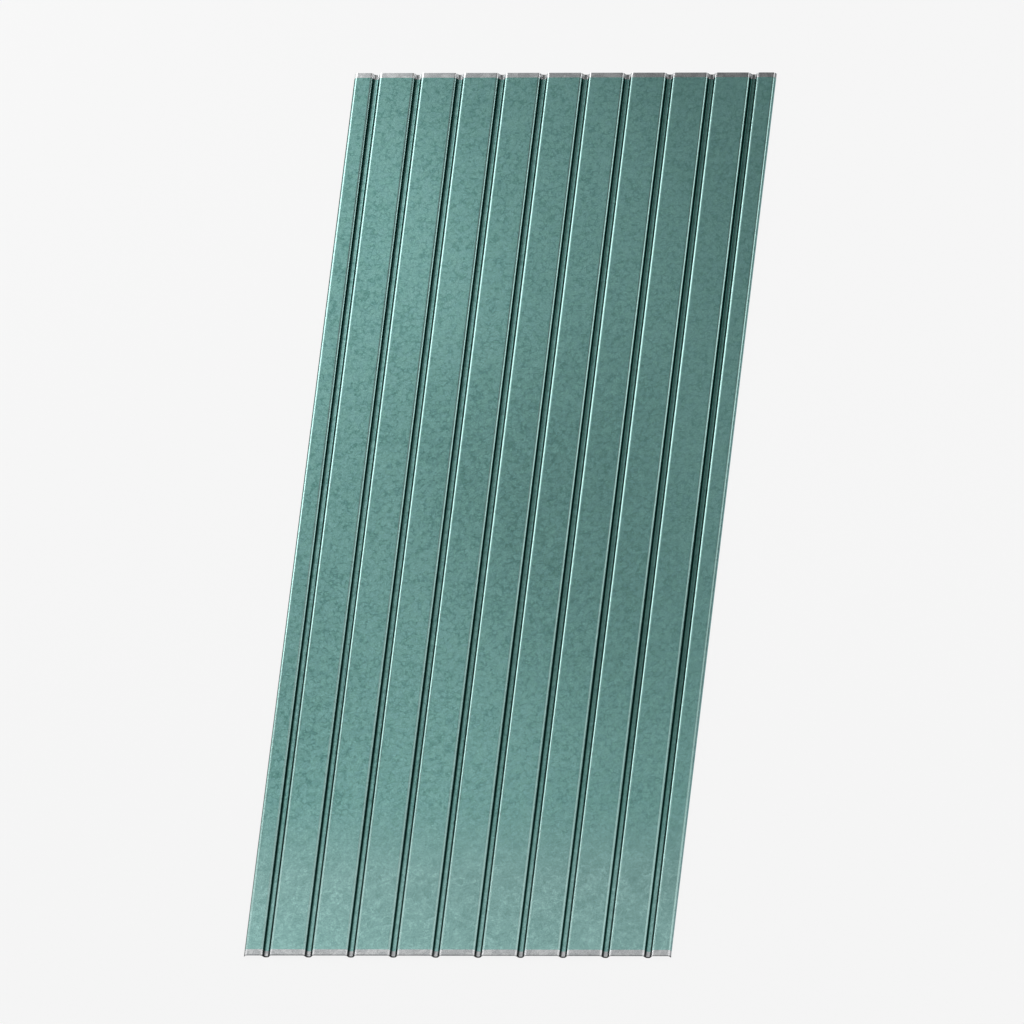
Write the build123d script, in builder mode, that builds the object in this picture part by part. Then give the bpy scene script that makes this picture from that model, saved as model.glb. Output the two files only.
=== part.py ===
from build123d import *
import math
import os

# Profiled steel sheet, roll-formed from one strip of coil: broad flat crowns with
# narrow flutes pressed down between them, and a turned-down lip on each long side.
# Millimetres. X runs across the sheet, Y along the flutes, +Z is the painted side.
# The origin is the middle of the sheet, in the plane that the flute floors rest on.

# Strip
sheet_length = 2500.0
sheet_thickness = 0.5

# Flutes, measured on the painted face
flute_count = 10
flute_pitch = 100.0
flute_depth = 8.0
wall_angle = 60.0  # from the plane of the sheet
shoulder_radius = 9.0  # bend from crown to wall
wall_flat = 0.3  # what the two bends leave flat of a wall
floor_flat = 2.5  # what the two bends leave flat of a floor

# Long sides, measured from the edge of the sheet to the middle of the nearest flute
left_margin = 52.5
right_margin = 54.5
lip_straight = 1.7  # what each lip has beyond its bend, which is a shoulder's bend

# Sizes and places that follow from the ones above. The floor's bends take what a shoulder's
# bend and the flat leave of each wall, so a flute is one flowing curve.
bend = math.radians(wall_angle)
wall_slope = flute_depth / math.sin(bend)
wall_run = flute_depth / math.tan(bend)
floor_radius = (wall_slope - wall_flat) / math.tan(bend / 2) - shoulder_radius
floor_width = floor_flat + 2 * floor_radius * math.tan(bend / 2)
lip_slope = shoulder_radius * math.tan(bend / 2) + lip_straight
lip_run = lip_slope * math.cos(bend)
sheet_width = left_margin + (flute_count - 1) * flute_pitch + right_margin
left_edge = -sheet_width / 2
right_edge = sheet_width / 2
floor_level = sheet_thickness
crown_level = floor_level + flute_depth
lip_level = crown_level - lip_slope * math.sin(bend)


def flute_corners(middle):
    """Corners of one flute's painted face, from its left shoulder to its right one."""
    floor_half = floor_width / 2
    mouth_half = floor_half + wall_run
    return [
        (middle - mouth_half, crown_level),
        (middle - floor_half, floor_level),
        (middle + floor_half, floor_level),
        (middle + mouth_half, crown_level),
    ]


# The painted face as one bent line, from the left lip's edge to the right lip's edge
flute_middles = [left_edge + left_margin + i * flute_pitch for i in range(flute_count)]
corners = [(left_edge, lip_level), (left_edge + lip_run, crown_level)]
radii = [shoulder_radius]
for flute_middle in flute_middles:
    corners += flute_corners(flute_middle)
    radii += [shoulder_radius, floor_radius, floor_radius, shoulder_radius]
corners += [(right_edge - lip_run, crown_level), (right_edge, lip_level)]
radii += [shoulder_radius]

# The strip's thickness lies behind the painted face, and the section is as long as the sheet
with BuildPart() as profiled_sheet:
    with BuildSketch(Plane.XZ) as section:
        with BuildLine():
            FilletPolyline(*corners, radius=radii)
            offset(amount=sheet_thickness, side=Side.RIGHT)
        make_face()
    extrude(amount=sheet_length / 2, both=True)

profiled_sheet.part.label = "profiled_sheet"

os.makedirs("parts", exist_ok=True)
export_step(profiled_sheet.part, "parts/profiled_sheet.step")
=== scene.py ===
import math

import bpy
from mathutils import Matrix, Vector


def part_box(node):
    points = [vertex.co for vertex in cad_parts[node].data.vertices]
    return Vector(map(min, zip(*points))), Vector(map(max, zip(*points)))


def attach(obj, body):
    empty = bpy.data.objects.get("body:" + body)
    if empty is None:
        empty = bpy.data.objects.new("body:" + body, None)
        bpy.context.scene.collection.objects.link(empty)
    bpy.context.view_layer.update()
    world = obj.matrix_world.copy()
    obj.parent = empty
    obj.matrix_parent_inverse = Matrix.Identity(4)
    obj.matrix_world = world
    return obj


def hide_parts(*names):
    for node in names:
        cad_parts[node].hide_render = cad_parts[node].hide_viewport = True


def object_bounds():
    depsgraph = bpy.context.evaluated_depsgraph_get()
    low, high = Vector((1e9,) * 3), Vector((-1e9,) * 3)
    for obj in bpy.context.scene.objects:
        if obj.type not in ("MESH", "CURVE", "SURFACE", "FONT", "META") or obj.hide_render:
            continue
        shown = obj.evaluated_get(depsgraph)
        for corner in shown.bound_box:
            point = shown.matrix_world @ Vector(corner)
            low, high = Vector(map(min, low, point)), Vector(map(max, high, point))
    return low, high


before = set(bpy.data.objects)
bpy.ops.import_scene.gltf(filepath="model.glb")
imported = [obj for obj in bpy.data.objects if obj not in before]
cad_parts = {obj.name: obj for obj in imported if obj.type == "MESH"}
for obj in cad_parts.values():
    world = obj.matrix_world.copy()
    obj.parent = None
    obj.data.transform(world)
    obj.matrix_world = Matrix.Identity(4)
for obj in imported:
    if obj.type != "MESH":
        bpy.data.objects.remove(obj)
cad_low, cad_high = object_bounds()

# The sheet: one strip of coil, roll-formed to broad flat crowns with ten narrow flutes
# between them and a turned-down lip on each long side. Hot-dip galvanised steel, with a
# clear green lacquer on its upper face that stops short of both cut ends.
millimetre = 0.001
sheet_node = "profiled_sheet"
sheet_low, sheet_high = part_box(sheet_node)
sheet_width = sheet_high.x - sheet_low.x
sheet_length = sheet_high.y - sheet_low.y
strip_thickness = 0.5 * millimetre
flute_count = 10
flute_pitch = 100 * millimetre
flute_depth = sheet_high.z - sheet_low.z - strip_thickness
wall_angle = math.radians(60)
shoulder_radius = 9 * millimetre
wall_flat = 0.3 * millimetre
floor_flat = 2.5 * millimetre
left_margin = 52.5 * millimetre
lip_straight = 1.7 * millimetre
far_bare_band = 13.5 * millimetre
near_bare_band = 17.5 * millimetre
length_divisions = 19
bend_facets = 16


# A tree's nodes and links, made with short calls
class MaterialMaker:
    def __init__(self, tree):
        self.tree = tree

    def node(self, kind, settings=None, **values):
        """Adds a node. Keywords are inputs by name with underscores: a value, or a socket to link."""
        made = self.tree.nodes.new(kind)
        for name, value in (settings or {}).items():
            setattr(made, name, value)
        for name, value in values.items():
            self.put(made.inputs[name.replace("_", " ")], value)
        return made

    def put(self, socket, value):
        """Links a socket to another, or gives it a value."""
        if isinstance(value, bpy.types.NodeSocket):
            self.tree.links.new(value, socket)
        else:
            socket.default_value = value

    def math(self, operation, *values):
        """A Math node of up to three values or sockets, and its result."""
        made = self.node("ShaderNodeMath", {"operation": operation})
        for socket, value in zip(made.inputs, values):
            self.put(socket, value)
        return made.outputs[0]

    def vector_math(self, operation, *values):
        """A Vector Math node of up to three vectors or sockets, and its result."""
        made = self.node("ShaderNodeVectorMath", {"operation": operation})
        for socket, value in zip(made.inputs, values):
            self.put(socket, value)
        return made.outputs[0]


# A Geometry Nodes tree's nodes are made by the same calls, and its inputs have names
class SheetTree(MaterialMaker):
    def __init__(self, name):
        super().__init__(bpy.data.node_groups.new(name, "GeometryNodeTree"))
        self.tree.interface.new_socket("Geometry", in_out="OUTPUT", socket_type="NodeSocketGeometry")
        self.entry = self.tree.nodes.new("NodeGroupInput")
        self.exit = self.tree.nodes.new("NodeGroupOutput")
        self.values = {}

    def size(self, name, value, kind="NodeSocketFloat"):
        """A named input of the tree, with the value that the modifier gives it."""
        socket = self.tree.interface.new_socket(name, in_out="INPUT", socket_type=kind)
        self.values[socket.identifier] = value
        return self.entry.outputs[name]

    def choose(self, condition, true_value, false_value):
        """One of two numbers, by a condition."""
        made = self.node("GeometryNodeSwitch", {"input_type": "FLOAT"}, Switch=condition)
        self.put(made.inputs["True"], true_value)
        self.put(made.inputs["False"], false_value)
        return made.outputs[0]

    def is_close(self, value, wanted, within=0.5):
        """True where a value is within a distance of the wanted one."""
        return self.math("COMPARE", value, wanted, within)

    def position(self):
        """The X, Y and Z of each point or face."""
        point = self.node("GeometryNodeInputPosition").outputs[0]
        return self.node("ShaderNodeSeparateXYZ", Vector=point).outputs

    def keep(self, geometry, name, value):
        """The geometry, with a number kept at each of its points under a name."""
        made = self.node("GeometryNodeStoreNamedAttribute", {"data_type": "FLOAT", "domain": "POINT"},
                         Geometry=geometry, Name=name)
        self.put(made.inputs["Value"], value)
        return made.outputs[0]

    def kept(self, name):
        """The number that was kept under a name."""
        return self.node("GeometryNodeInputNamedAttribute", {"data_type": "FLOAT"}, Name=name).outputs[0]

    def mesh_of(self, name):
        """The tree's result as a plain mesh object, with no modifier left on it."""
        holder = bpy.data.objects.new(name, bpy.data.meshes.new(name + "_start"))
        bpy.context.scene.collection.objects.link(holder)
        modifier = holder.modifiers.new("form", "NODES")
        modifier.node_group = self.tree
        for identifier, value in self.values.items():
            modifier[identifier] = value
        evaluated = holder.evaluated_get(bpy.context.evaluated_depsgraph_get())
        mesh = bpy.data.meshes.new_from_object(evaluated)
        holder.modifiers.clear()
        holder.data = mesh
        mesh.name = name
        return holder


def spread(make, value, low, high, new_low, new_high):
    """A value's range changed to another, clamped."""
    made = make.node("ShaderNodeMapRange", Value=value)
    for name, limit in (("From Min", low), ("From Max", high), ("To Min", new_low), ("To Max", new_high)):
        make.put(made.inputs[name], limit)
    return made.outputs["Result"]


# Hot-dip zinc sets in crystals that each face their own way. This effect is in the lacquered
# and the bare zinc: a tone and a tint for each crystal, its feathered ribs, the broken seams
# between crystals, and a fine grain.
def make_spangle_group():
    bends_per_crystal = 1.3
    bend_reach = 1.6
    ribs_per_crystal = 5.0
    rib_stretch = (1.0, 0.35, 1.0)
    seam_changes_per_metre = 70.0
    grains_per_metre = 420.0
    group = bpy.data.node_groups.new("spangle", "ShaderNodeTree")
    group.interface.new_socket("Vector", in_out="INPUT", socket_type="NodeSocketVector")
    for name in ("Crystal Size", "Seam Width"):
        group.interface.new_socket(name, in_out="INPUT", socket_type="NodeSocketFloat")
    for name in ("Crystal", "Tint", "Feather", "Seam", "Grain"):
        group.interface.new_socket(name, in_out="OUTPUT", socket_type="NodeSocketFloat")
    make = MaterialMaker(group)
    entry = group.nodes.new("NodeGroupInput")
    exit_node = group.nodes.new("NodeGroupOutput")
    place = entry.outputs["Vector"]
    size = entry.outputs["Crystal Size"]
    crystals_per_metre = make.math("DIVIDE", 1.0, size)
    # The crystals' borders wander
    wander = make.node("ShaderNodeTexNoise", Vector=place, Detail=3.0, Roughness=0.75,
                       Scale=make.math("MULTIPLY", crystals_per_metre, bends_per_crystal))
    centred = make.vector_math("SUBTRACT", wander.outputs["Color"], (0.5, 0.5, 0.5))
    reach = make.math("MULTIPLY", size, bend_reach)
    bent = make.vector_math("MULTIPLY_ADD", centred, reach, place)
    cells = make.node("ShaderNodeTexVoronoi", {"feature": "F1"}, Vector=bent, Scale=crystals_per_metre)
    parts = make.node("ShaderNodeSeparateColor", Color=cells.outputs["Color"])
    # Each crystal's ribs run its own way
    turned = make.node("ShaderNodeVectorRotate", {"rotation_type": "Z_AXIS"}, Vector=place,
                       Angle=make.math("MULTIPLY", parts.outputs["Green"], math.tau))
    stretched = make.vector_math("MULTIPLY", turned.outputs[0], rib_stretch)
    ribs = make.node("ShaderNodeTexNoise", Vector=stretched, Detail=1.0, Roughness=0.6,
                     Scale=make.math("MULTIPLY", crystals_per_metre, ribs_per_crystal))
    # A seam is wide in some places and all but closed in others
    border = make.node("ShaderNodeTexVoronoi", {"feature": "DISTANCE_TO_EDGE"}, Vector=bent,
                       Scale=crystals_per_metre)
    opening = make.node("ShaderNodeTexNoise", Vector=place, Scale=seam_changes_per_metre, Detail=1.0,
                        Roughness=0.6).outputs["Fac"]
    width = spread(make, opening, 0.35, 0.65, 0.02, entry.outputs["Seam Width"])
    inside = spread(make, border.outputs["Distance"], 0.0, width, 0.0, 1.0)
    strength = spread(make, opening, 0.35, 0.65, 0.3, 1.0)
    seam = make.math("MULTIPLY", make.math("SUBTRACT", 1.0, inside), strength)
    grain = make.node("ShaderNodeTexNoise", Vector=place, Scale=grains_per_metre, Detail=1.0, Roughness=0.7)
    make.put(exit_node.inputs["Crystal"], parts.outputs["Red"])
    make.put(exit_node.inputs["Tint"], parts.outputs["Blue"])
    make.put(exit_node.inputs["Feather"], ribs.outputs["Fac"])
    make.put(exit_node.inputs["Seam"], seam)
    make.put(exit_node.inputs["Grain"], grain.outputs["Fac"])
    return group


spangle_group = make_spangle_group()
crystal_size = 15 * millimetre
large_crystal_size = 30 * millimetre
# A seam's width is a share of a crystal
seam_width = 0.22
large_seam_width = 0.16


def place_spangle(make, place, size, width):
    """The spangle group in a material, and its outputs."""
    spangle = make.node("ShaderNodeGroup", {"node_tree": spangle_group})
    make.put(spangle.inputs["Vector"], place)
    spangle.inputs["Crystal Size"].default_value = size
    spangle.inputs["Seam Width"].default_value = width
    return spangle.outputs


def start_material(name):
    """A new material's maker, its Principled shader and its Object coordinates."""
    material = bpy.data.materials.new(name)
    material.use_nodes = True
    make = MaterialMaker(material.node_tree)
    shader = material.node_tree.nodes["Principled BSDF"]
    place = make.node("ShaderNodeTexCoord").outputs["Object"]
    return material, make, shader, place


def ramp(make, factor, stops, interpolation="LINEAR"):
    """A colour ramp of (place, colour) stops, and its colour."""
    made = make.node("ShaderNodeValToRGB", Fac=factor)
    made.color_ramp.interpolation = interpolation
    elements = made.color_ramp.elements
    while len(elements) < len(stops):
        elements.new(0.5)
    for element, (position, colour) in zip(elements, stops):
        element.position = position
        element.color = (*colour, 1.0)
    return made.outputs["Color"]


def mix_colours(make, factor, first, second, blend="MIX"):
    """A Mix node of two colours, and its result."""
    made = make.node("ShaderNodeMix", {"data_type": "RGBA", "blend_type": blend})
    make.put(made.inputs["Factor"], factor)
    for socket, value in ((made.inputs[6], first), (made.inputs[7], second)):
        make.put(socket, value if isinstance(value, bpy.types.NodeSocket) else (*value, 1.0))
    return made.outputs[2]


def depth_in_flute(make):
    """How deep a point of a flute or a lip lies, from 0 on the crowns to 1 on the flutes' floors."""
    return make.node("ShaderNodeAttribute", {"attribute_name": "flute_depth"}).outputs["Fac"]


def on_shoulders(make, depth, amount, fade_start, fade_end):
    """An amount on the shoulders and none elsewhere, by the depth in a flute."""
    stops = ((0.0, 0.0), (0.02, amount), (fade_start, amount), (fade_end, 0.0))
    return ramp(make, depth, [(position, (level,) * 3) for position, level in stops])


def on_floors(make, depth):
    """1 on the flutes' floors and 0 above them."""
    return spread(make, depth, 0.88, 0.98, 0.0, 1.0)


def on_right_lip(make, across):
    """1 on the right lip and 0 to the left of it."""
    right_edge = sheet_width / 2
    return spread(make, across, right_edge - 9 * millimetre, right_edge - 6 * millimetre, 0.0, 1.0)


def add_grain_bump(make, shader, grain, strength):
    """The zinc's fine grain in relief."""
    bump = make.node("ShaderNodeBump", Height=grain, Strength=strength, Distance=0.1 * millimetre)
    make.put(shader.inputs["Normal"], bump.outputs["Normal"])


# Clear green lacquer over spangled zinc. The rolls have stretched it thin on the shoulders, which carry a
# painted highlight, and painted shade lies on the flutes' walls, with painted light and shade on their floors
def lacquered_zinc():
    material, make, shader, place = start_material("lacquered_zinc")
    where = make.node("ShaderNodeSeparateXYZ", Vector=place).outputs
    depth = depth_in_flute(make)
    spangle = place_spangle(make, place, crystal_size, seam_width)
    large_spangle = place_spangle(make, place, large_crystal_size, large_seam_width)
    # Over the last stretch before the near end the crystals are larger, and their seams are pale.
    # Elsewhere most seams are dark.
    small_crystals_end = -0.82
    large_crystals_start = -1.03
    last_stretch = spread(make, where["Y"], small_crystals_end, large_crystals_start, 0.0, 1.0)
    green = mix_colours(make, spangle["Tint"], (0.190, 0.412, 0.372), (0.188, 0.404, 0.382))
    zinc_through_lacquer = mix_colours(make, last_stretch, green, (0.216, 0.405, 0.380))
    crystal_tone = spread(make, spangle["Crystal"], 0.0, 1.0, -0.04, 0.05)
    rib_tone = spread(make, spangle["Feather"], 0.3, 0.7, -0.095, 0.095)
    grain_tone = spread(make, spangle["Grain"], 0.3, 0.7, -0.07, 0.07)
    seam_tone = make.math("MULTIPLY", spangle["Seam"], spread(make, last_stretch, 0.0, 1.0, -0.3, 0.0))
    large_crystal_tone = spread(make, large_spangle["Crystal"], 0.0, 1.0, -0.04, 0.04)
    large_tone = make.math("MULTIPLY_ADD", large_spangle["Seam"], 0.2, large_crystal_tone)
    tone = make.math("ADD", make.math("ADD", crystal_tone, rib_tone), make.math("ADD", grain_tone, seam_tone))
    tone = make.math("MULTIPLY_ADD", large_tone, last_stretch, tone)
    # The spangle shows a little less towards the right, but for that last stretch
    strength = spread(make, where["X"], -0.4, 0.4, 1.25, 0.8)
    last_strength = 1.13
    to_last = make.math("SUBTRACT", last_strength, strength)
    tone = make.math("MULTIPLY", tone, make.math("MULTIPLY_ADD", last_stretch, to_last, strength))
    # Pale crystals are greyer, and dark ones are greener
    colour_tone = make.vector_math("MULTIPLY_ADD", tone, (1.35, 0.98, 1.02), (1.0, 1.0, 1.0))
    ribbed = mix_colours(make, 1.0, zinc_through_lacquer, colour_tone, "MULTIPLY")
    # Painted highlight: the shoulders go paler, where the rolls also stretch the lacquer thin
    thin_lacquer_and_highlight = on_shoulders(make, depth, 0.4, 0.24, 0.32)
    stretched = mix_colours(make, thin_lacquer_and_highlight, ribbed, (0.60, 0.85, 0.81))
    # Painted shade: walls are near black, but for the right lip's. Painted light and shade on the floors:
    # away from the near end they go from a little paler at the left to half as pale at the right.
    painted_wall_shade = mix_colours(make, on_right_lip(make, where["X"]), (0.02, 0.15, 0.13), (0.95, 0.85, 0.90))
    rightward = spread(make, where["X"], -0.45, 0.45, 0.0, 1.0)
    far_floor_painted_shading = mix_colours(make, rightward, (1.25, 1.12, 1.14), (0.47, 0.49, 0.48))
    farness = spread(make, where["Y"], -1.0, -0.5, 0.0, 1.0)
    floor_painted_shading = mix_colours(make, farness, (1.0, 1.0, 1.0), far_floor_painted_shading)
    into_wall = spread(make, depth, 0.22, 0.34, 0.0, 1.0)
    shoulder_to_wall_shade = mix_colours(make, into_wall, (1.0, 1.0, 1.0), painted_wall_shade)
    painted_flute_shading = mix_colours(make, on_floors(make, depth), shoulder_to_wall_shade, floor_painted_shading)
    make.put(shader.inputs["Base Color"], mix_colours(make, 1.0, stretched, painted_flute_shading, "MULTIPLY"))
    shader.inputs["Metallic"].default_value = 0.9
    make.put(shader.inputs["Roughness"], spread(make, spangle["Crystal"], 0.0, 1.0, 0.19, 0.23))
    make.put(shader.inputs["Coat Weight"], spread(make, into_wall, 0.0, 1.0, 0.3, 0.0))
    shader.inputs["Coat Roughness"].default_value = 0.1
    add_grain_bump(make, shader, spangle["Grain"], 0.15)
    return material


# Zinc with no lacquer, as on the sheet's back and in the bands at its ends. The rolls have burnished its
# shoulders, which also carry a painted highlight;
# painted shade darkens parts of the bands, and a painted shadow runs along the near end.
def bare_zinc():
    material, make, shader, place = start_material("bare_zinc")
    where = make.node("ShaderNodeSeparateXYZ", Vector=place).outputs
    depth = depth_in_flute(make)
    spangle = place_spangle(make, place, crystal_size, seam_width)
    crystal_tone = ramp(make, spangle["Crystal"], [
        (0.0, (0.46, 0.48, 0.49)), (1.0, (0.60, 0.615, 0.62))], "EASE")
    seam_share = make.math("MULTIPLY", spangle["Seam"], 0.6)
    dull = mix_colours(make, seam_share, crystal_tone, (0.36, 0.375, 0.38))
    # Painted highlight on the shoulders, which the rolls have also burnished
    burnished_and_highlighted = mix_colours(make, on_shoulders(make, depth, 1.0, 0.22, 0.3), dull, (0.86, 0.87, 0.88))
    # Painted shade: the far band is darker towards the right and on its floors
    on_floor = on_floors(make, depth)
    far_band_painted_shade = make.math("MULTIPLY", spread(make, where["X"], -0.45, 0.30, 1.25, 0.68),
                         spread(make, on_floor, 0.0, 1.0, 1.0, 0.6))
    # Painted shade: the near band's walls are dark, but for the right lip's
    below_shoulder = spread(make, depth, 0.24, 0.34, 0.0, 1.0)
    on_wall = make.math("MULTIPLY", make.math("SUBTRACT", below_shoulder, on_floor),
                        make.math("SUBTRACT", 1.0, on_right_lip(make, where["X"])))
    near_band_painted_shade = spread(make, on_wall, 0.0, 1.0, 0.85, 0.2)
    # Painted shadow over the last few millimetres before the near end, darkest in the flutes
    near_edge_painted_shadow = spread(make, below_shoulder, 0.0, 1.0, 0.45, 0.05)
    # These tones reach a little past the bands, and on the upper face the lacquer hides that
    band_start = sheet_length / 2 - 30 * millimetre
    band_full = sheet_length / 2 - 20 * millimetre
    near_edge_start = sheet_length / 2 - 4 * millimetre
    near_edge_full = sheet_length / 2 - 2.5 * millimetre
    in_far_band = spread(make, where["Y"], band_start, band_full, 0.0, 1.0)
    in_near_band = spread(make, where["Y"], -band_start, -band_full, 0.0, 1.0)
    at_near_edge = spread(make, where["Y"], -near_edge_start, -near_edge_full, 0.0, 1.0)
    tone = mix_colours(make, in_far_band, (1.0, 1.0, 1.0), far_band_painted_shade)
    tone = mix_colours(make, in_near_band, tone, near_band_painted_shade)
    tone = mix_colours(make, at_near_edge, tone, near_edge_painted_shadow)
    make.put(shader.inputs["Base Color"], mix_colours(make, 1.0, burnished_and_highlighted, tone, "MULTIPLY"))
    shader.inputs["Metallic"].default_value = 1.0
    make.put(shader.inputs["Roughness"], spread(make, spangle["Feather"], 0.3, 0.7, 0.20, 0.30))
    add_grain_bump(make, shader, spangle["Grain"], 0.2)
    return material


# The sheared edge, where the steel itself shows between its two zinc coats
def cut_steel():
    material, make, shader, place = start_material("cut_steel")
    stretched = make.node("ShaderNodeMapping", Vector=place)
    stretched.inputs["Scale"].default_value = (1.0, 1.0, 0.1)
    streaks = make.node("ShaderNodeTexNoise", Vector=stretched.outputs[0], Scale=900.0, Detail=2.0)
    colour = ramp(make, streaks.outputs["Fac"], [
        (0.3, (0.42, 0.42, 0.43)), (0.7, (0.62, 0.62, 0.63))], "EASE")
    make.put(shader.inputs["Base Color"], colour)
    shader.inputs["Metallic"].default_value = 1.0
    make.put(shader.inputs["Roughness"], spread(make, streaks.outputs["Fac"], 0.3, 0.7, 0.28, 0.45))
    return material


def make_sheet():
    """The strip swept along its rolled section: a rectangle on a line with filleted corners."""
    make = SheetTree("rolled_sheet")
    length = make.size("Length", sheet_length)
    thickness = make.size("Thickness", strip_thickness)
    count = make.size("Flute Count", flute_count, "NodeSocketInt")
    pitch = make.size("Flute Pitch", flute_pitch)
    depth = make.size("Flute Depth", flute_depth)
    angle = make.size("Wall Angle", wall_angle)
    shoulder = make.size("Shoulder Radius", shoulder_radius)
    flat_of_wall = make.size("Wall Flat", wall_flat)
    flat_of_floor = make.size("Floor Flat", floor_flat)
    width = make.size("Sheet Width", sheet_width)
    margin = make.size("Left Margin", left_margin)
    straight = make.size("Lip Straight", lip_straight)
    far_band = make.size("Far Bare Band", far_bare_band)
    near_band = make.size("Near Bare Band", near_bare_band)
    divisions = make.size("Length Divisions", length_divisions, "NodeSocketInt")
    facets = make.size("Bend Facets", bend_facets, "NodeSocketInt")

    # The section's corners in order: two of the left lip, four of each flute, two of the right lip.
    # A lip is half a flute, so the corners follow one rule, and only the lips' own sizes differ.
    corner_count = make.math("MULTIPLY_ADD", count, 4.0, 4.0)
    line = make.node("GeometryNodeMeshLine", Count=corner_count)
    index = make.node("GeometryNodeInputIndex").outputs[0]
    from_flutes = make.math("SUBTRACT", index, 2.0)
    flute = make.math("FLOOR", make.math("DIVIDE", from_flutes, 4.0))
    corner = make.math("SUBTRACT", from_flutes, make.math("MULTIPLY", flute, 4.0))
    is_low = make.is_close(corner, 1.5, 1.0)
    side = make.choose(make.math("GREATER_THAN", corner, 1.5), 1.0, -1.0)
    wall_run = make.math("DIVIDE", depth, make.math("TANGENT", angle))
    wall_slope = make.math("DIVIDE", depth, make.math("SINE", angle))
    # The floor's bends take what a shoulder's bend and the flat leave of each wall
    half_bend = make.math("TANGENT", make.math("MULTIPLY", angle, 0.5))
    bent_slope = make.math("SUBTRACT", wall_slope, flat_of_wall)
    floor_radius = make.math("SUBTRACT", make.math("DIVIDE", bent_slope, half_bend), shoulder)
    half_flat = make.math("MULTIPLY", flat_of_floor, 0.5)
    half_floor = make.math("MULTIPLY_ADD", floor_radius, half_bend, half_flat)
    half_mouth = make.math("ADD", half_floor, wall_run)
    left_edge = make.math("MULTIPLY", width, -0.5)
    right_edge = make.math("MULTIPLY", width, 0.5)
    middle = make.math("ADD", make.math("ADD", left_edge, margin), make.math("MULTIPLY", flute, pitch))
    half = make.choose(is_low, half_floor, half_mouth)
    flute_x = make.math("ADD", middle, make.math("MULTIPLY", side, half))
    floor_level = thickness
    crown_level = make.math("ADD", thickness, depth)
    lip_slope = make.math("ADD", make.math("MULTIPLY", shoulder, half_bend), straight)
    lip_run = make.math("MULTIPLY", lip_slope, make.math("COSINE", angle))
    lip_drop = make.math("MULTIPLY", lip_slope, make.math("SINE", angle))
    lip_level = make.math("SUBTRACT", crown_level, lip_drop)
    last = make.math("SUBTRACT", corner_count, 1.0)
    before_last = make.math("SUBTRACT", corner_count, 2.0)
    x = make.choose(make.is_close(index, 0.0), left_edge, flute_x)
    x = make.choose(make.is_close(index, 1.0), make.math("ADD", left_edge, lip_run), x)
    x = make.choose(make.is_close(index, before_last), make.math("SUBTRACT", right_edge, lip_run), x)
    x = make.choose(make.is_close(index, last), right_edge, x)
    is_lip_edge = make.math("ADD", make.is_close(index, 0.0), make.is_close(index, last))
    z = make.choose(is_low, floor_level, crown_level)
    z = make.choose(is_lip_edge, lip_level, z)
    corners = make.node("GeometryNodeSetPosition", Geometry=line.outputs[0],
                        Position=make.node("ShaderNodeCombineXYZ", X=x, Z=z).outputs[0])
    with_radius = make.keep(corners.outputs[0], "bend_radius", make.choose(is_low, floor_radius, shoulder))
    with_corner = make.keep(with_radius, "corner_number", index)
    polyline = make.node("GeometryNodeMeshToCurve")
    make.put(polyline.inputs[0], with_corner)
    bent = make.node("GeometryNodeFilletCurve", {"mode": "POLY"}, Curve=polyline.outputs[0],
                     Radius=make.kept("bend_radius"))
    make.put(bent.inputs["Count"], facets)
    bent.inputs["Limit Radius"].default_value = False

    # How deep each point of a flute or a lip lies, from 0 on the crowns to 1 on the flutes' floors
    below_crown = make.math("SUBTRACT", crown_level, make.position()["Z"])
    section = make.keep(bent.outputs[0], "flute_depth", make.math("DIVIDE", below_crown, depth))

    # The strip's own outline: its length by its thickness, cut at the bands and along its length.
    # Its X runs towards the sheet's near end.
    outline = make.node("GeometryNodeCurvePrimitiveQuadrilateral", {"mode": "RECTANGLE"}, Width=length,
                        Height=thickness)
    is_long_side = make.math("SUBTRACT", 1.0, make.math("MODULO", index, 2.0))
    bands = make.node("GeometryNodeSubdivideCurve", Curve=outline.outputs[0],
                      Cuts=make.math("MULTIPLY", is_long_side, 2.0))
    outline_place = make.position()
    half_length = make.math("MULTIPLY", length, 0.5)
    half_thickness = make.math("MULTIPLY", thickness, 0.5)
    along = outline_place["X"]
    at_end = make.math("GREATER_THAN", make.math("ABSOLUTE", along), make.math("MULTIPLY", half_length, 0.9))
    band = make.choose(make.math("LESS_THAN", along, 0.0), far_band, near_band)
    band_place = make.math("MULTIPLY", make.math("SIGN", along), make.math("SUBTRACT", half_length, band))
    new_place = make.node("ShaderNodeCombineXYZ", X=make.choose(at_end, along, band_place),
                          Y=make.math("ADD", outline_place["Y"], half_thickness))
    banded = make.node("GeometryNodeSetPosition", Geometry=bands.outputs[0], Position=new_place.outputs[0])
    is_between_bands = make.is_close(make.math("MODULO", index, 4.0), 1.0)
    divided = make.node("GeometryNodeSubdivideCurve", Curve=banded.outputs[0],
                        Cuts=make.math("MULTIPLY", is_between_bands, divisions))
    is_upper = make.math("LESS_THAN", outline_place["Y"], half_thickness)
    profile = make.keep(divided.outputs[0], "upper_side", is_upper)

    swept = make.node("GeometryNodeCurveToMesh", Curve=section)
    make.put(swept.inputs["Profile Curve"], profile)
    swept.inputs["Fill Caps"].default_value = True
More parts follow.
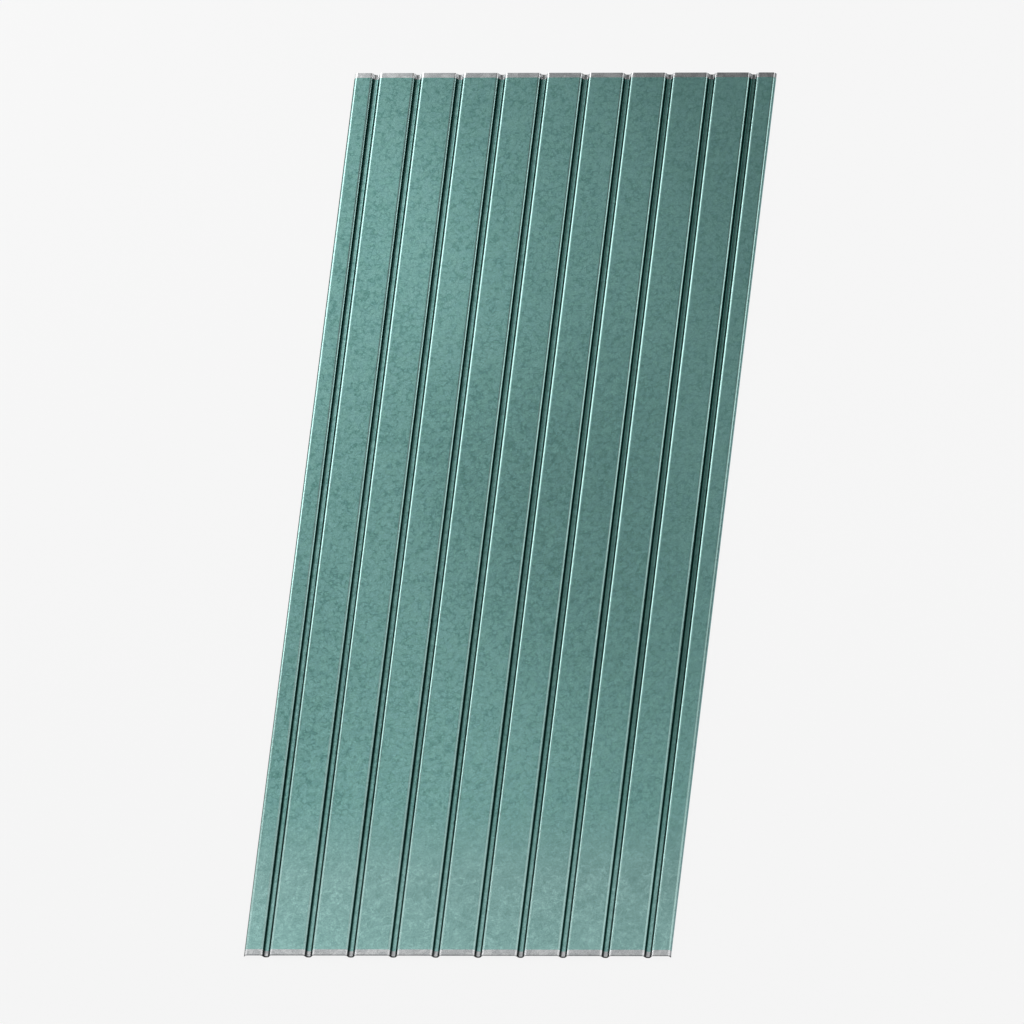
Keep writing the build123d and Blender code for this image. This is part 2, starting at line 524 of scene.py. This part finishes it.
    # A bend's faces have one corner's number, and a flat face lies between two corners. The bends
    # are shaded smooth, and the flats and the cut edges are not.
    face_side = make.kept("upper_side")
    is_cut = make.is_close(face_side, 0.5, 0.25)
    is_flat = make.is_close(make.math("FRACT", make.kept("corner_number")), 0.5, 0.25)
    bends = make.node("GeometryNodeSetShadeSmooth", Geometry=swept.outputs[0])
    bends.inputs["Shade Smooth"].default_value = True
    faces = make.node("GeometryNodeSetShadeSmooth", Geometry=bends.outputs[0],
                      Selection=make.math("ADD", is_flat, is_cut))
    faces.inputs["Shade Smooth"].default_value = False
    face_y = make.position()["Y"]
    face_band = make.choose(make.math("GREATER_THAN", face_y, 0.0), far_band, near_band)
    is_inside_bands = make.math("LESS_THAN", make.math("ABSOLUTE", face_y),
                                make.math("SUBTRACT", half_length, face_band))
    is_painted = make.math("MULTIPLY", make.math("GREATER_THAN", face_side, 0.75), is_inside_bands)
    result = make.node("GeometryNodeRealizeInstances", Geometry=faces.outputs[0]).outputs[0]
    for material, selection in ((bare_zinc(), True), (lacquered_zinc(), is_painted), (cut_steel(), is_cut)):
        result = make.node("GeometryNodeSetMaterial", Geometry=result, Selection=selection,
                           Material=material).outputs[0]
    make.put(make.exit.inputs[0], result)
    return make.mesh_of("rolled_sheet")


sheet = make_sheet()
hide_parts(sheet_node)
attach(sheet, "root")

# The floor, a pale disc that is seen nearly as bright as the sky at the horizon. The rest of
# its brightness is the light that falls on it, so it keeps the sheet's shadow.
disc_radius = 60.0
disc_sides = 96
near_floor = 3.0
far_floor = 7.0
pale_grey = 0.90
horizon_level = 0.965
own_share = 0.90


def make_floor():
    ring = []
    for i in range(disc_sides):
        turn = math.tau * i / disc_sides
        ring.append((disc_radius * math.cos(turn), disc_radius * math.sin(turn), 0.0))
    mesh = bpy.data.meshes.new("floor")
    mesh.from_pydata(ring, [], [list(range(disc_sides))])
    material, make, shader, place = start_material("floor")
    shader.inputs["Base Color"].default_value = (pale_grey, pale_grey, pale_grey, 1.0)
    shader.inputs["Roughness"].default_value = 1.0
    shader.inputs["Specular IOR Level"].default_value = 0.0
    distance = make.node("ShaderNodeVectorMath", {"operation": "LENGTH"})
    make.put(distance.inputs[0], place)
    share = spread(make, distance.outputs["Value"], near_floor, far_floor, own_share, 1.0)
    ray = make.node("ShaderNodeLightPath").outputs
    seen_in_metal = make.math("MAXIMUM", ray["Is Glossy Ray"], ray["Is Transmission Ray"])
    seen = make.math("MAXIMUM", ray["Is Camera Ray"], seen_in_metal)
    glow = make.node("ShaderNodeEmission", Color=(horizon_level, horizon_level, horizon_level, 1.0))
    blend = make.node("ShaderNodeMixShader", Fac=make.math("MULTIPLY", seen, share))
    make.put(blend.inputs[1], shader.outputs[0])
    make.put(blend.inputs[2], glow.outputs[0])
    make.put(make.tree.nodes["Material Output"].inputs["Surface"], blend.outputs[0])
    mesh.materials.append(material)
    disc = bpy.data.objects.new("floor", mesh)
    bpy.context.scene.collection.objects.link(disc)
    return disc


floor = make_floor()

# The sky of the studio: as bright as the floor at the horizon, and a plain dark grey overhead,
# where the softboxes hang. Each height is the upward part of the direction.
overhead_level = 0.12
horizon_height = 0.06
overhead_height = 0.16
world = bpy.data.worlds.new("studio")
bpy.context.scene.world = world
world.use_nodes = True
sky = MaterialMaker(world.node_tree)
direction = sky.node("ShaderNodeTexCoord").outputs["Generated"]
upward = sky.node("ShaderNodeSeparateXYZ", Vector=direction).outputs["Z"]
horizon_grey = (horizon_level,) * 3
overhead_grey = (overhead_level,) * 3
sky_colour = ramp(sky, upward, [
    (0.0, horizon_grey), (horizon_height, horizon_grey), (overhead_height, overhead_grey),
    (1.0, overhead_grey)])
sky.put(world.node_tree.nodes["Background"].inputs["Color"], sky_colour)

# The softboxes hang round the sheet at one distance from it, and face it. Each has a compass
# angle from the sheet's far end, clockwise, an elevation, a breadth and a height in metres, and
# a radiance. The last two light the sheet for views from its far end.
lamp_distance = 4.0


def add_softbox(name, compass, elevation, breadth, height, radiance):
    lamp = bpy.data.lights.new(name, "AREA")
    lamp.shape = "RECTANGLE"
    lamp.size = breadth
    lamp.size_y = height
    lamp.energy = math.pi * breadth * height * radiance
    softbox = bpy.data.objects.new(name, lamp)
    bpy.context.scene.collection.objects.link(softbox)
    turn = math.radians(compass)
    rise = math.radians(elevation)
    outward = Vector((math.sin(turn) * math.cos(rise), math.cos(turn) * math.cos(rise), math.sin(rise)))
    softbox.location = outward * lamp_distance
    softbox.rotation_euler = (-outward).to_track_quat("-Z", "Y").to_euler()
    softbox.visible_camera = False


add_softbox("left_strip", -48, 20, 2.0, 1.0, 3.5)
add_softbox("left_near", -71, 14, 1.4, 1.1, 1.4)
add_softbox("left_upper", -46, 32, 1.6, 0.7, 0.85)
add_softbox("left_side", -68, 50, 0.9, 2.9, 1.2)
add_softbox("key_left", -30, 42, 1.3, 1.1, 0.88)
add_softbox("key_left_over", -36, 57, 1.1, 1.0, 0.57)
add_softbox("key_middle", -13, 42, 0.65, 1.1, 0.52)
add_softbox("key_middle_over", -15, 57, 1.0, 1.0, 0.27)
add_softbox("key_right", 0, 46, 0.6, 1.9, 0.32)
add_softbox("over", -20, 68, 2.4, 0.8, 0.49)
add_softbox("top", 0, 82, 3.0, 1.2, 1.35)
add_softbox("right_strip", 42, 28, 1.6, 0.85, 1.7)
add_softbox("right_upper", 47, 50, 1.5, 2.1, 0.66)
add_softbox("right_side", 75, 40, 1.3, 3.7, 0.97)
add_softbox("near_right", 135, 22, 3.4, 1.8, 0.9)
add_softbox("near_left", -135, 22, 3.4, 1.8, 0.9)

# The camera, far off with a long lens, looking down on the sheet from one end. The sheet's
# ends lie level in the picture.
camera_elevation = math.radians(54.20)
camera_turn = math.radians(17.81)
frame_width = 2.390
frame_pixels = 1024
sheet_middle_pixel = (511.75, 512.4)
lens = 1600.0
sensor = 36.0
back = Vector((math.sin(camera_turn) * math.cos(camera_elevation),
               -math.cos(camera_turn) * math.cos(camera_elevation), math.sin(camera_elevation)))
up = back.cross(Vector((1.0, 0.0, 0.0))).normalized()
right = up.cross(back)
pixel = frame_width / frame_pixels
aim = (cad_low + cad_high) / 2
aim -= right * (sheet_middle_pixel[0] - frame_pixels / 2) * pixel
aim += up * (sheet_middle_pixel[1] - frame_pixels / 2) * pixel
camera_place = aim + back * frame_width * lens / sensor
camera_data = bpy.data.cameras.new("camera")
camera_data.lens = lens
camera_data.sensor_width = sensor
camera_data.clip_end = 400.0
camera = bpy.data.objects.new("camera", camera_data)
bpy.context.scene.collection.objects.link(camera)
camera.matrix_world = Matrix.Translation(camera_place) @ Matrix((right, up, back)).transposed().to_4x4()
bpy.context.scene.camera = camera
bpy.context.scene.view_settings.view_transform = "Standard"
